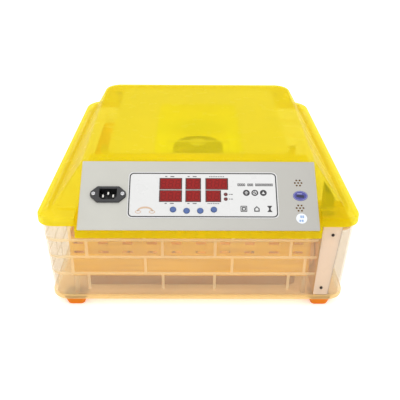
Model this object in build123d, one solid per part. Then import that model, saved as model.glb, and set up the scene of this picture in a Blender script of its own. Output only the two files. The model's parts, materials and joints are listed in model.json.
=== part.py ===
from build123d import *
import math
import os

os.makedirs("parts", exist_ok=True)

# A table-top incubator for about 48 hen's eggs: a brick-patterned base box with
# water channels, an egg tray and a sliding egg turner, under a lift-off lid that
# carries the control panel, the fan, the heater and the electronics.
# Millimetres, +Z up, front towards -Y. Pieces are drawn about the fan's axis, and
# save() moves them so that the origin is on the table under the middle of the whole.

# ---- driving dimensions: heights -----------------------------------------
FOOT_HEIGHT = 12.0
BASE_FLOOR = 15.0
TRAY_FLOOR = 50.0
TRAY_TOP = 112.0
BASE_TOP = 141.0
RIM_BOTTOM = 138.0
RIM_TOP = 150.0
CENTRE_FOOT = 157.0
LID_TOP = 198.0
NOSE_BOTTOM = 125.0

# ---- driving dimensions: plans -------------------------------------------
# Each plan is front half width, back half width, front y, back y, and the
# corner radius at the front and at the back.
RIM_PLAN = (222.0, 210.0, -205.0, 252.0, 24.0, 34.0)
BASE_TOP_PLAN = (217.0, 205.5, -201.5, 246.0, 20.0, 30.0)
BASE_BOTTOM_PLAN = (208.7, 198.5, -199.0, 243.0, 20.0, 28.0)
CENTRE_HALF_FOOT = (200.0, 189.0)
CENTRE_HALF_TOP = (165.0, 167.0)
CENTRE_BACK_FOOT = 232.0
CENTRE_BACK_TOP = 211.0
CENTRE_CORNERS_FOOT = (4.0, 34.0)
CENTRE_CORNERS_TOP = (3.0, 26.0)
WALL = 2.5
LID_SEAT = 13.0
CEILING = LID_TOP - WALL - 0.4
WIDE = 300.0

# ---- driving dimensions: control panel -----------------------------------
PANEL_TILT = 35.0
PANEL_WIDTH = 327.5
PANEL_LENGTH = 106.0
PANEL_THICK = 1.0
PANEL_CENTRE_Y = -169.5
PANEL_CENTRE_Z = 167.5
NOSE_HALF = 167.5
NOSE_FRONT = -214.0
MIDDLE_Y = (RIM_PLAN[3] + NOSE_FRONT) / 2
LABEL_SIZE = (204.0, 67.5)
LABEL_AT = (6.0, 0.3)
LABEL_THICK = 0.4
DIGIT_HEIGHT = 17.8
DISPLAY_PROUD = 0.6
THREE_DIGITS = 31.2
TWO_DIGITS = 21.2
DISPLAY_ROWS = (17.3, -1.7)
DISPLAY_NAMES = (
    ("temperature", "humidity", "days"),
    ("temperature_limit", "humidity_limit", "turns"),
)
DISPLAY_COLUMNS = (-38.7, -7.5)
DISPLAY_RIGHT_EDGE = 9.6
BOARD_DEPTH = 9.0
BOARD_THICK = 1.6
LED_AT = ((37.4, 1.1), (37.4, -6.2))
LED_RADIUS = 2.6
BUTTON_RADIUS = 4.2
BUTTON_PITCH = 18.6
BUTTON_ROW = (-7.1, -23.2)
INLET_AT = (-124.7, 0.0)
INLET_HOLE_PITCH = 40.0
PERFORATION_AT = ((138.9, 19.4), (138.9, -19.4))
ROSETTE_RADIUS = 4.6
SOUND_HOLE = 1.4

# ---- driving dimensions: turner and its drive -----------------------------
TURNER_STROKE = 20.0
LANE_PITCH = 62.0
LANES = 6
DIVIDER_THICK = 3.0
TURNER_BOTTOM = 52.0
DIVIDER_TOP = 84.0
RAIL_LEFT = -176.0
RAIL_RIGHT = 152.0
TRAY_LEFT = -182.0
TRAY_RIGHT = 160.0
TRAY_MIDDLE = 20.0
TRAY_HALF_DEPTH = 212.0
CRANK_Y = -155.0
CRANK_Z = 72.0
PIN_RADIUS = 3.0
BAY_WALL = 168.0
BAY_BACK = -120.0
BAY_CAP = 131.0
MOTOR_SCREW_RISE = 31.0

# ---- driving dimensions: fan and heater -----------------------------------
FAN_Y = 0.0
FAN_RADIUS = 36.0
SHROUD_RADIUS = 38.0
FAN_BOTTOM = 154.0
FAN_TOP = 166.0
DUCT_HALF = 134.0
DUCT_FRONT = -93.0
DUCT_BACK = 190.0
DUCT_FLOOR = 150.0
WELL_HALF = 65.0
WELL_FRONT = -90.5
WELL_BACK = 112.0
COVER_HALF = 158.0
COVER_FLOOR = 137.0
COVER_BACK = -95.0
COVER_THICK = 2.0
COVER_ROOF_EDGE = -122.0
HEATER_RADIUS = 48.0


# ---- helpers ---------------------------------------------------------------
def box(x0, x1, y0, y1, z0, z1):
    """A block between two corners."""
    middle = Pos((x0 + x1) / 2, (y0 + y1) / 2, (z0 + z1) / 2)
    return middle * Box(x1 - x0, y1 - y0, z1 - z0)


def rod(x, y, z0, z1, radius):
    """An upright cylinder."""
    return Pos(x, y, (z0 + z1) / 2) * Cylinder(radius, z1 - z0)


def cross_rod(x0, x1, y, z, radius):
    """A cylinder along X."""
    return Pos((x0 + x1) / 2, y, z) * Rot(0, 90, 0) * Cylinder(radius, x1 - x0)


def grow(plan, amount):
    """A plan made larger, or smaller, on every side."""
    front, back, y_front, y_back, r_front, r_back = plan
    rounded = (max(r_front + amount, 2.0), max(r_back + amount, 2.0))
    return (front + amount, back + amount, y_front - amount, y_back + amount, *rounded)


def plan_face(plan, z):
    """A rounded four-sided face at a height."""
    front, back, y_front, y_back, r_front, r_back = plan
    corners = [(-front, y_front), (front, y_front), (back, y_back), (-back, y_back)]
    face = make_face(Polyline(*corners, close=True))
    face = fillet(face.vertices().sort_by(Axis.Y)[:2], r_front)
    face = fillet(face.vertices().sort_by(Axis.Y)[-2:], r_back)
    return Pos(0, 0, z) * face


def slab(plan, z0, z1):
    """A plan carried straight up."""
    return extrude(plan_face(plan, z0), z1 - z0)


def taper(plan0, z0, plan1, z1):
    """A drafted body between two plans."""
    return loft([plan_face(plan0, z0), plan_face(plan1, z1)], ruled=True)


def side_profile(points, x0, x1):
    """A profile drawn in Y and Z, carried along X."""
    face = make_face(Polyline(*[(x0, y, z) for y, z in points], close=True))
    return extrude(face, x1 - x0, dir=(1, 0, 0))


def group(pieces):
    """Several separate solids in one node."""
    solids = [solid for piece in pieces for solid in piece.solids()]
    return Compound(children=solids)


def save(name, shape):
    """Write one node, moved so that the origin is under the middle."""
    solids = [Pos(0, -MIDDLE_Y, 0) * solid for solid in shape.solids()]
    moved = Compound(children=solids) if len(solids) > 1 else solids[0]
    moved.label = name
    export_step(moved, "parts/" + name + ".step")


# ---- the sloped panel's own frame -------------------------------------------
TILT = math.radians(PANEL_TILT)
PANEL_PLANE = Plane(
    origin=(0, PANEL_CENTRE_Y, PANEL_CENTRE_Z),
    x_dir=(1, 0, 0),
    z_dir=(0, -math.sin(TILT), math.cos(TILT)),
)


def on_panel(shape):
    """Place a shape drawn about the panel's centre, its +Z outwards."""
    return PANEL_PLANE.location * shape


def panel_block(u, v, width, height, w0, w1):
    """A block on the panel: centre, size across and up, and depth range."""
    return on_panel(Pos(u, v, (w0 + w1) / 2) * Box(width, height, w1 - w0))


def panel_rod(u, v, radius, w0, w1):
    """A round piece that stands square to the panel."""
    return on_panel(Pos(u, v, (w0 + w1) / 2) * Cylinder(radius, w1 - w0))


def panel_plate(u, v, width, height, corner, w0, w1):
    """A plate with rounded corners that lies on the panel."""
    face = Pos(u, v, w0) * RectangleRounded(width, height, corner)
    return on_panel(extrude(face, w1 - w0))


def slope_z(y, depth=PANEL_THICK):
    """Height of the housing's slope, a depth below the panel's face."""
    rise = (y - PANEL_CENTRE_Y) * math.tan(TILT)
    return PANEL_CENTRE_Z + rise - depth / math.cos(TILT)


def slope_y(z, depth=PANEL_THICK):
    """Where the housing's slope reaches a height."""
    return PANEL_CENTRE_Y + (z - slope_z(PANEL_CENTRE_Y, depth)) / math.tan(TILT)


# ---- base ------------------------------------------------------------------
COURSE = 28.0
COURSES = 4
FIRST_COURSE = 29.0
MORTAR = 4.0
MORTAR_DEPTH = 1.0
FIELD_CENTRE = -13.4
WIDE_JOINTS = (-142.0, -36.7, 36.7, 142.0)
NARROW_JOINTS = (-163.5, -61.0, 61.0, 163.5)
PLAIN_CORNER_X = 166.0
SKIRT_TOP = 21.5
SKIRT_PROUD = 3.0


def base_form(amount, z0=FOOT_HEIGHT, z1=BASE_TOP):
    """The drafted outer form of the base, grown or shrunk."""
    return taper(grow(BASE_BOTTOM_PLAN, amount), z0, grow(BASE_TOP_PLAN, amount), z1)


def mortar_joints():
    """Bars that mark out the courses and the upright joints of the brickwork."""
    reach = WIDE
    near = 150.0
    half = MORTAR / 2
    bars = []
    for course in range(COURSES):
        low = FIRST_COURSE + course * COURSE
        if course:
            bars.append(box(-reach, reach, -reach, reach, low - half, low + half))
        joints = NARROW_JOINTS if course % 2 else WIDE_JOINTS
        for joint in joints:
            front = FIELD_CENTRE + joint
            high = min(low + COURSE, BASE_TOP)
            side = TRAY_MIDDLE + joint
            bars.append(box(front - half, front + half, -reach, -near, low, high))
            bars.append(box(joint - half, joint + half, near, reach, low, high))
            bars.append(box(-reach, -near, side - half, side + half, low, high))
            bars.append(box(near, reach, side - half, side + half, low, high))
    return bars


STRIP_CORNERS = ((166.6, 22.0), (186.4, 22.0), (196.0, 136.5), (170.3, 136.5))
STRIP_SCREWS = ((184.3, 124.0), (177.0, 34.0))
STRIP_THICK = 1.4


def strip_prism(shrink):
    """The upright strip of the drive bay's cover, seen from the front."""
    (x0, z0), (x1, _), (x2, z2), (x3, _) = STRIP_CORNERS
    points = [(x0 + shrink, z0 + shrink), (x1 - shrink, z0 + shrink)]
    points += [(x2 - shrink, z2 - shrink), (x3 + shrink, z2 - shrink)]
    face = make_face(Polyline(*[(x, -215, z) for x, z in points], close=True))
    return extrude(face, 35, dir=(0, 1, 0))


def make_base_shell():
    """The translucent base box with its brick pattern."""
    skirt = slab(grow(BASE_BOTTOM_PLAN, SKIRT_PROUD), FOOT_HEIGHT, SKIRT_TOP)
    skirt = fillet(skirt.edges().group_by(Axis.Z)[0], 4)
    skirt = fillet(skirt.edges().group_by(Axis.Z)[-1], 1.5)
    outer = base_form(0) & box(-WIDE, WIDE, -WIDE, WIDE, SKIRT_TOP - 2, BASE_TOP)
    outer += skirt
    inner = base_form(-WALL) & box(-WIDE, WIDE, -WIDE, WIDE, BASE_FLOOR, BASE_TOP + 1)
    shell = outer - inner
    skin = base_form(0) - base_form(-MORTAR_DEPTH)
    plain = box(PLAIN_CORNER_X, WIDE, -WIDE, BAY_BACK, 0, BASE_TOP + 1)
    joints = (skin - plain) & (Part() + mortar_joints())
    shell -= joints
    shell -= box(-NOSE_HALF - 2, NOSE_HALF + 2, -230, -180, BASE_TOP - 5, BASE_TOP + 5)
    shell -= strip_prism(4) & box(150, 210, -215, -190, 30, 116)
    for x, z in STRIP_SCREWS:
        shell -= Pos(x, -200, z) * Rot(90, 0, 0) * Cylinder(1.6, 30)
    for x, y in FOOT_PLACES:
        shell -= rod(x, y, FOOT_HEIGHT - 1, BASE_FLOOR + 1, 1.6)
    return shell


FOOT_PLACES = [(sx * x, y) for sx in (-1, 1) for x, y in ((178.0, -185.0), (165.0, 222.0))]
FOOT_TOP = (32.0, 28.0, 7.0)
FOOT_LOW = (24.0, 21.0, 6.0)
FOOT_RECESS = 6.0


def make_foot():
    """One tapered, rounded foot with a sunk screw hole."""
    low = RectangleRounded(*FOOT_LOW)
    top = Pos(0, 0, FOOT_HEIGHT) * RectangleRounded(*FOOT_TOP)
    foot = loft([low, top], ruled=True)
    foot = fillet(foot.edges().group_by(Axis.Z)[0], 1.5)
    return foot - rod(0, 0, -1, FOOT_RECESS, 4.5) - rod(0, 0, 5, 13, 1.8)


def make_screw(length, head_radius=3.2, head_height=2.2, radius=1.5):
    """A pan-head screw with a cross recess: head up, seat at z = 0."""
    head = Pos(0, 0, head_height / 2) * Cylinder(head_radius, head_height)
    head = fillet(head.edges().sort_by(Axis.Z)[-1], head_height * 0.45)
    shank = Pos(0, 0, -length / 2) * Cylinder(radius, length)
    recess = Pos(0, 0, head_height) * Box(head_radius * 1.1, 0.7, 1.6)
    return (head + shank) - recess - Rot(0, 0, 90) * recess


def make_motor_cover():
    """The plain ivory strip that closes the drive bay."""
    skin = base_form(STRIP_THICK) - base_form(0)
    strip = skin & strip_prism(0)
    for x, z in STRIP_SCREWS:
        strip -= Pos(x, -200, z) * Rot(90, 0, 0) * Cylinder(1.4, 30)
    return strip


def make_motor_bay():
    """The inner walls and the cap of the drive bay."""
    wall = box(BAY_WALL, BAY_WALL + 2, -WIDE, BAY_BACK + 2, BASE_FLOOR, BAY_CAP)
    back = box(BAY_WALL + 2, WIDE, BAY_BACK, BAY_BACK + 2, BASE_FLOOR, BAY_CAP)
    cap = box(BAY_WALL + 2, WIDE, -WIDE, BAY_BACK, BAY_CAP - 2, BAY_CAP)
    bay = (wall + back + cap) & base_form(-WALL)
    bay -= cross_rod(BAY_WALL - 1, BAY_WALL + 3, CRANK_Y, CRANK_Z, 5)
    for z in (CRANK_Z - MOTOR_SCREW_RISE, CRANK_Z + MOTOR_SCREW_RISE):
        bay -= cross_rod(BAY_WALL - 1, BAY_WALL + 3, CRANK_Y, z, 1.6)
    for dy in (-SOCKET_PIN_Y, SOCKET_PIN_Y):
        bay -= rod(SOCKET_AT[0], SOCKET_AT[1] + dy, BAY_CAP - 3, BAY_CAP + 1, 1.7)
    return bay


SOCKET_AT = (184.0, -152.0)
SOCKET_PIN_Y = 4.0
SOCKET_TOP = 137.0


def make_base_socket():
    """The two-way socket that feeds the drive motor."""
    x, y = SOCKET_AT
    body = box(x - 8, x + 8, y - 10, y + 10, BAY_CAP, SOCKET_TOP)
    for dy in (-SOCKET_PIN_Y, SOCKET_PIN_Y):
        body -= rod(x, y + dy, BAY_CAP - 1, SOCKET_TOP + 1, 1.7)
    return body


def make_turner_motor():
    """A flat synchronous gear motor with two ears."""
    can = cross_rod(BAY_WALL + 2, BAY_WALL + 18, CRANK_Y, CRANK_Z, 25)
    can = fillet(can.edges().sort_by(Axis.X)[-1], 2)
    face = BAY_WALL + 2
    ears = box(face, face + 1.5, CRANK_Y - 6, CRANK_Y + 6, CRANK_Z - 37, CRANK_Z + 37)
    terminals = box(face + 16, face + 20, CRANK_Y - 8, CRANK_Y + 8, CRANK_Z - 4, CRANK_Z + 4)
    motor = can + ears + terminals
    for z in (CRANK_Z - MOTOR_SCREW_RISE, CRANK_Z + MOTOR_SCREW_RISE):
        motor -= cross_rod(BAY_WALL + 1, BAY_WALL + 4, CRANK_Y, z, 1.6)
    return motor - cross_rod(BAY_WALL + 1, BAY_WALL + 12, CRANK_Y, CRANK_Z, 3.06)


def make_crank():
    """The drive disc with its offset pin, pin at the top at rest."""
    disc = cross_rod(BAY_WALL - 6.5, BAY_WALL - 1.5, CRANK_Y, CRANK_Z, 24)
    hub = cross_rod(BAY_WALL - 8.5, BAY_WALL - 6.5, CRANK_Y, CRANK_Z, 5)
    pin = cross_rod(BAY_WALL - 15, BAY_WALL - 6, CRANK_Y, CRANK_Z + TURNER_STROKE, PIN_RADIUS)
    disc = fillet(disc.edges().sort_by(Axis.X)[0], 0.8)
    return disc + hub + pin - cross_rod(BAY_WALL - 10, BAY_WALL, CRANK_Y, CRANK_Z, 3)


def make_crank_shaft():
    """The output shaft that the crank is pressed on."""
    return cross_rod(BAY_WALL - 8.5, BAY_WALL + 11, CRANK_Y, CRANK_Z, 3)


WATER_LEFT = -166.0
WATER_RIGHT = 146.0
WATER_HALF_DEPTH = 188.0
WATER_TOP = 33.0
WATER_CHANNELS = 4


def water_channels():
    """The y ranges of the water channels."""
    pitch = (2 * WATER_HALF_DEPTH - 2) / WATER_CHANNELS
    front = TRAY_MIDDLE - WATER_HALF_DEPTH + 2
    starts = [front + index * pitch for index in range(WATER_CHANNELS)]
    return [(start, start + pitch - 2) for start in starts]


def make_water_tray():
    """A shallow tray with four water channels."""
    corner = 12.0
    plan = Pos((WATER_LEFT + WATER_RIGHT) / 2, TRAY_MIDDLE, BASE_FLOOR)
    face = RectangleRounded(WATER_RIGHT - WATER_LEFT, 2 * WATER_HALF_DEPTH, corner)
    tray = extrude(plan * face, WATER_TOP - BASE_FLOOR)
    for low, high in water_channels():
        length = WATER_RIGHT - WATER_LEFT - 4
        place = Pos((WATER_LEFT + WATER_RIGHT) / 2, (low + high) / 2, BASE_FLOOR + 2)
        tray -= extrude(place * RectangleRounded(length, high - low, corner - 2), 30)
    return tray


def lane_walls():
    """The y places of the turner's cross walls, front to back."""
    return [TRAY_MIDDLE + (index - LANES / 2) * LANE_PITCH for index in range(LANES + 1)]


FLOOR_SLOTS = 20
WALL_SLOTS = (88.0, 103.0)
WALL_WINDOWS = 8


def make_egg_tray():
    """The slotted tray that the eggs roll on, with its six legs."""
    width = TRAY_RIGHT - TRAY_LEFT
    depth = 2 * TRAY_HALF_DEPTH
    middle = (TRAY_RIGHT + TRAY_LEFT) / 2
    bottom = TRAY_FLOOR - 2
    outer_face = Pos(middle, TRAY_MIDDLE, bottom) * RectangleRounded(width, depth, 8)
    inner_face = Pos(middle, TRAY_MIDDLE, TRAY_FLOOR) * RectangleRounded(width - 4, depth - 4, 6)
    tray = extrude(outer_face, TRAY_TOP - bottom) - extrude(inner_face, TRAY_TOP)
    cuts = []
    for index in range(FLOOR_SLOTS):
        x = TRAY_LEFT + width * (index + 0.5) / FLOOR_SLOTS
        for low in lane_walls()[:-1]:
            cuts.append(box(x - 2, x + 2, low + 9, low + 49, bottom - 1, TRAY_FLOOR + 1))
        if index % 2 == 0:
            for z in WALL_SLOTS:
                cuts.append(box(x - 1, x + 13, -WIDE, WIDE, z - 2, z + 2))
    for index in range(-5, 6):
        y = TRAY_MIDDLE + index * 35
        for z in WALL_SLOTS:
            cuts.append(box(TRAY_LEFT - 1, TRAY_LEFT + 3, y - 8, y + 8, z - 2, z + 2))
    cuts.append(box(TRAY_RIGHT - 5, 170, CRANK_Y - 30, CRANK_Y + 30, TRAY_FLOOR + 14, 120))
    tray -= Part() + cuts
    for x in (TRAY_LEFT + 6, TRAY_RIGHT - 6):
        for y in (TRAY_MIDDLE - TRAY_HALF_DEPTH + 8, TRAY_MIDDLE, TRAY_MIDDLE + TRAY_HALF_DEPTH - 8):
            tray += rod(x, y, BASE_FLOOR, bottom, 4)
    return tray


def pierced_wall(y):
    """A wall across the lanes, with windows for the air."""
    half = DIVIDER_THICK / 2
    left = RAIL_LEFT + DIVIDER_THICK
    right = RAIL_RIGHT - DIVIDER_THICK
    wall = box(left, right, y - half, y + half, TURNER_BOTTOM, DIVIDER_TOP)
    for index in range(WALL_WINDOWS):
        x = left + (right - left) * (index + 0.5) / WALL_WINDOWS
        wall -= box(x - 14, x + 14, y - 3, y + 3, TURNER_BOTTOM + 7, DIVIDER_TOP - 8)
    return wall


def make_turner_frame():
    """The open frame that slides to and fro on the egg tray: two rails, two end walls."""
    first, last = lane_walls()[0], lane_walls()[-1]
    half = DIVIDER_THICK / 2
    pieces = [pierced_wall(first), pierced_wall(last)]
    for x in (RAIL_LEFT, RAIL_RIGHT - DIVIDER_THICK):
        far = x + DIVIDER_THICK
        rail = box(x, far, first - half, last + half, TURNER_BOTTOM, DIVIDER_TOP)
        for y in (first + 40, last - 40):
            rail += box(x, far, y - 12, y + 12, TRAY_FLOOR, TURNER_BOTTOM)
        pieces.append(rail)
    return group(pieces)


def make_lane_dividers():
    """The loose walls between the egg lanes."""
    return group([pierced_wall(y) for y in lane_walls()[1:-1]])


def make_turner_yoke():
    """The slotted plate that the crank pin pushes."""
    low, top = TRAY_FLOOR + 8, 101
    plate = box(RAIL_RIGHT, RAIL_RIGHT + 4, CRANK_Y - 13, CRANK_Y + 13, low, top)
    plate = fillet(plate.edges().filter_by(Axis.X), 4)
    play = 0.22 * TURNER_STROKE + 0.4
    half = PIN_RADIUS + play
    slot = box(RAIL_RIGHT - 1, RAIL_RIGHT + 5, CRANK_Y - half, CRANK_Y + half, CRANK_Z - 4.5, top - 4)
    return plate - slot


# ---- lid -------------------------------------------------------------------
def centre_plan(z, halves, back, radii, depth):
    """Plan of the raised centre: its front edge follows the slope."""
    return (*halves, slope_y(z, depth), back, *radii)


def edges_at(shape, z, behind):
    """The edges of a shape that lie at one height, behind a y."""
    level = shape.edges().filter_by_position(Axis.Z, z - 0.01, z + 0.01)
    return level.filter_by_position(Axis.Y, behind, 1000)


def lid_outside():
    """The outer form of the lid."""
    foot_back, top_back = CENTRE_BACK_FOOT, CENTRE_BACK_TOP
    foot = centre_plan(CENTRE_FOOT, CENTRE_HALF_FOOT, foot_back, CENTRE_CORNERS_FOOT, PANEL_THICK)
    top = centre_plan(LID_TOP, CENTRE_HALF_TOP, top_back, CENTRE_CORNERS_TOP, PANEL_THICK)
    rim = slab(RIM_PLAN, RIM_BOTTOM, RIM_TOP)
    shoulder = taper(RIM_PLAN, RIM_TOP, foot, CENTRE_FOOT)
    centre = taper(foot, CENTRE_FOOT, top, LID_TOP)
    centre = fillet(edges_at(centre, LID_TOP, slope_y(LID_TOP) + 2), 6)
    body = rim + shoulder + centre
    body = fillet(edges_at(body, CENTRE_FOOT, -100), 5)
    body = fillet(edges_at(body, RIM_TOP, -WIDE), 4)
    reach = slope_y(CENTRE_FOOT)
    ahead = NOSE_FRONT - 20
    wedge = [(ahead, slope_z(ahead)), (reach, CENTRE_FOOT), (reach, 175), (ahead, 175)]
    body -= side_profile(wedge, -NOSE_HALF, NOSE_HALF)
    nose = [(NOSE_FRONT, NOSE_BOTTOM), (NOSE_FRONT, slope_z(NOSE_FRONT))]
    nose += [(-170, slope_z(-170)), (-170, NOSE_BOTTOM)]
    nose = side_profile(nose, -NOSE_HALF, NOSE_HALF)
    return body + fillet(nose.edges().filter_by(Axis.Z).group_by(Axis.Y)[0], 2.5)


def lid_inside():
    """The hollow of the lid."""
    deep = PANEL_THICK + WALL
    step = RIM_TOP + 2
    low_halves = [half - 4.5 for half in CENTRE_HALF_FOOT]
    top_halves = [half - 1.5 for half in CENTRE_HALF_TOP]
    low = centre_plan(step, low_halves, CENTRE_BACK_FOOT - 4.5, (8, 30), deep)
    top = centre_plan(LID_TOP - WALL, top_halves, CENTRE_BACK_TOP - 2.2, (3, 24), deep)
    hollow = taper(low, step, top, LID_TOP - WALL)
    hollow += slab(grow(RIM_PLAN, -WALL), NOSE_BOTTOM - 5, BASE_TOP)
    seat = list(grow(RIM_PLAN, -LID_SEAT))
    seat[2] = -180.0
    hollow += slab(tuple(seat), BASE_TOP - 1, step)
    front = NOSE_FRONT + WALL
    nose = [(front, NOSE_BOTTOM - 5), (front, slope_z(front, deep))]
    nose += [(-160, slope_z(-160, deep)), (-160, NOSE_BOTTOM - 5)]
    return hollow + side_profile(nose, -NOSE_HALF + WALL, NOSE_HALF - WALL)


def make_lid_shell(inside):
    """The yellow two-level lid with its panel housing."""
    shell = lid_outside() - inside
    shell -= panel_block(-6.5, 0, 113, 62, -8, 1)
    shell -= panel_block(*INLET_AT, 29, 21.5, -8, 1)
    for side in (-1, 1):
        shell -= panel_rod(INLET_AT[0] + side * INLET_HOLE_PITCH / 2, 0, 1.7, -8, 1)
    for u, v in PERFORATION_AT:
        shell -= panel_rod(u, v, ROSETTE_RADIUS + 1.7, -8, 1)
    return shell


def display_places():
    """Centre and width of each of the six number displays."""
    places = {}
    for row, (heat, damp, count) in enumerate(DISPLAY_NAMES):
        v = DISPLAY_ROWS[row]
        places[heat + "_display"] = (DISPLAY_COLUMNS[0], v, THREE_DIGITS)
        places[damp + "_display"] = (DISPLAY_COLUMNS[1], v, TWO_DIGITS)
        width = TWO_DIGITS if row else THREE_DIGITS
        places[count + "_display"] = (DISPLAY_RIGHT_EDGE + width / 2, v, width)
    return places


def button_places():
    """Centres of the four buttons, which sit on a shallow bow."""
    places = []
    for index in range(4):
        offset = index - 1.5
        across = BUTTON_ROW[0] + offset * BUTTON_PITCH
        places.append((across, BUTTON_ROW[1] + 0.9 * (offset ** 2 - 1.25)))
    return places


def face_openings(w0, w1):
    """What is cut through the panel and the label for displays, lamps and buttons."""
    cuts = []
    for u, v, width in display_places().values():
        cuts.append(panel_block(u, v, width + 0.4, DIGIT_HEIGHT + 0.4, w0, w1))
    for u, v in LED_AT:
        cuts.append(panel_rod(u, v, LED_RADIUS + 0.15, w0, w1))
    for u, v in button_places():
        cuts.append(panel_rod(u, v, BUTTON_RADIUS + 0.3, w0, w1))
    return Part() + cuts


def perforations(w0, w1):
    """Two rosettes of seven sound holes."""
    holes = []
    for u, v in PERFORATION_AT:
        holes.append(panel_rod(u, v, SOUND_HOLE, w0, w1))
        for index in range(6):
            turn = math.radians(60 * index)
            across = u + ROSETTE_RADIUS * math.cos(turn)
            up = v + ROSETTE_RADIUS * math.sin(turn)
            holes.append(panel_rod(across, up, SOUND_HOLE, w0, w1))
    return Part() + holes


def make_control_panel():
    """The silver panel plate."""
    plate = panel_plate(0, 0, PANEL_WIDTH, PANEL_LENGTH, 1.2, -PANEL_THICK, 0)
    plate -= face_openings(-5, 5)
    plate -= perforations(-5, 5)
    plate -= panel_block(*INLET_AT, 28, 20.6, -5, 5)
    for side in (-1, 1):
        plate -= panel_rod(INLET_AT[0] + side * INLET_HOLE_PITCH / 2, 0, 1.7, -5, 5)
    return plate


def make_panel_label():
    """The white face label."""
    label = panel_plate(*LABEL_AT, *LABEL_SIZE, 5, 0, LABEL_THICK)
    return label - face_openings(-5, 5)


def make_display(u, v, width):
    """One number display module, level with the label."""
    return panel_plate(u, v, width, DIGIT_HEIGHT, 0.6, -BOARD_DEPTH, DISPLAY_PROUD)


def make_leds():
    """Two round lamps."""
    lamps = []
    for u, v in LED_AT:
        body = Pos(u, v, (1.0 - BOARD_DEPTH) / 2) * Cylinder(LED_RADIUS, 1.0 + BOARD_DEPTH)
        lamps.append(on_panel(fillet(body.edges().sort_by(Axis.Z)[-1], 1.6)))
    return group(lamps)


def make_button(u, v):
    """One push button: cap, collar and stem."""
    cap = Pos(u, v, 0.1) * Cylinder(BUTTON_RADIUS, 3.4)
    cap = fillet(cap.edges().sort_by(Axis.Z)[-1], 1.2)
    collar = Pos(u, v, -2.1) * Cylinder(BUTTON_RADIUS + 1.2, 1.4)
    stem = Pos(u, v, -4.4) * Cylinder(2.0, 3.4)
    return on_panel(cap + collar + stem)


def make_button_switches():
    """The four tact switches under the buttons."""
    switches = []
    for u, v in button_places():
        body = Pos(u, v, -8.3) * Box(6, 6, 1.4)
        plunger = Pos(u, v, -7.35) * Cylinder(1.7, 0.7)
        switches.append(on_panel(body + plunger))
    return group(switches)


BOARD_CENTRE = (-6.5, 0.5)
BOARD_SIZE = (110.0, 59.0)
BOARD_HOLE_INSET = 4.0


def board_holes():
    """Centres of the control board's four fixing holes."""
    half_width = BOARD_SIZE[0] / 2 - BOARD_HOLE_INSET
    half_height = BOARD_SIZE[1] / 2 - BOARD_HOLE_INSET
    u, v = BOARD_CENTRE
    return [(u + sx * half_width, v + sy * half_height) for sx in (-1, 1) for sy in (-1, 1)]


def make_control_board():
    """The main circuit board, parallel to the panel."""
    deep = -BOARD_DEPTH - BOARD_THICK
    board = panel_plate(*BOARD_CENTRE, *BOARD_SIZE, 2, deep, -BOARD_DEPTH)
    for u, v in board_holes():
        board -= panel_rod(u, v, 1.6, -15, -5)
    board += panel_block(-20, 8, 14, 14, deep - 2.4, deep)
    board += panel_block(15, 12, 10, 6, deep - 1.8, deep)
    return board


def make_board_posts():
    """Four spacers between the housing and the control board."""
    posts = []
    for u, v in board_holes():
        post = panel_rod(u, v, 3, -BOARD_DEPTH, -PANEL_THICK)
        posts.append(post - panel_rod(u, v, 1.3, -BOARD_DEPTH - 1, -3))
    return group(posts)


def make_board_screws():
    """Screws that hold the control board."""
    screws = []
    for u, v in board_holes():
        screw = Rot(180, 0, 0) * make_screw(5, 2.6, 1.8, 1.25)
        screws.append(on_panel(Pos(u, v, -BOARD_DEPTH - BOARD_THICK) * screw))
    return group(screws)


def make_power_inlet():
    """The flanged three-pin appliance inlet."""
    ear = INLET_HOLE_PITCH / 2
    outline = [(15, 12), (24, 4), (25, 0), (24, -4), (15, -12)]
    outline += [(-x, y) for x, y in reversed(outline)]
    flange = extrude(make_face(Polyline(*outline, close=True)), 3.0)
    flange = fillet(flange.edges().filter_by(Axis.Z), 1.6)
    flange = chamfer(flange.faces().sort_by(Axis.Z)[-1].edges(), 0.5)
    body = Pos(0, 0, -9.5) * Box(27, 20, 19)
    inlet = flange + body
    mouth = [(-12.2, 8.2), (12.2, 8.2), (12.2, -4.2), (8.2, -8.2), (-8.2, -8.2), (-12.2, -4.2)]
    inlet -= Pos(0, 0, -13.5) * extrude(make_face(Polyline(*mouth, close=True)), 20)
    for side in (-1, 1):
        inlet -= Pos(side * ear, 0, 0) * Cylinder(1.7, 20)
    for x, y in INLET_PINS:
        inlet -= Pos(x, y, -16) * Box(2.0, 4.0, 8)
    return on_panel(Pos(*INLET_AT, 0) * inlet)


INLET_PINS = ((0.0, 2.2), (-7.0, -1.8), (7.0, -1.8))


def make_inlet_pins():
    """Three blades, which run through to the tabs at the back."""
    pins = []
    for x, y in INLET_PINS:
        blade = Pos(x, y, -12.5) * Box(2.0, 4.0, 25)
        pins.append(on_panel(Pos(*INLET_AT, 0) * blade))
    return group(pins)


def make_inlet_screws():
    """Two screws through the inlet's ears."""
    screws = []
    for side in (-1, 1):
        place = Pos(INLET_AT[0] + side * INLET_HOLE_PITCH / 2, INLET_AT[1], 3.0)
        screws.append(on_panel(place * make_screw(9, 2.8, 1.6)))
    return group(screws)


def make_electronics_cover():
    """The folded tray that closes the electronics off from the egg chamber."""
    front = -197.0
    gap = PANEL_THICK + WALL
    outline = [(front, COVER_FLOOR), (front, slope_z(front, gap)), (slope_y(CEILING, gap), CEILING)]
    outline += [(COVER_BACK, CEILING), (COVER_BACK, COVER_FLOOR)]
    solid = side_profile(outline, -COVER_HALF, COVER_HALF)
    sides = (-COVER_HALF + COVER_THICK, COVER_HALF - COVER_THICK)
    floor, roof = COVER_FLOOR + COVER_THICK, CEILING - COVER_THICK
    room = box(*sides, front + COVER_THICK, COVER_BACK - COVER_THICK, floor, roof)
    mouth = box(*sides, front + COVER_THICK, COVER_ROOF_EDGE, floor, WIDE)
    return solid - room - mouth


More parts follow.
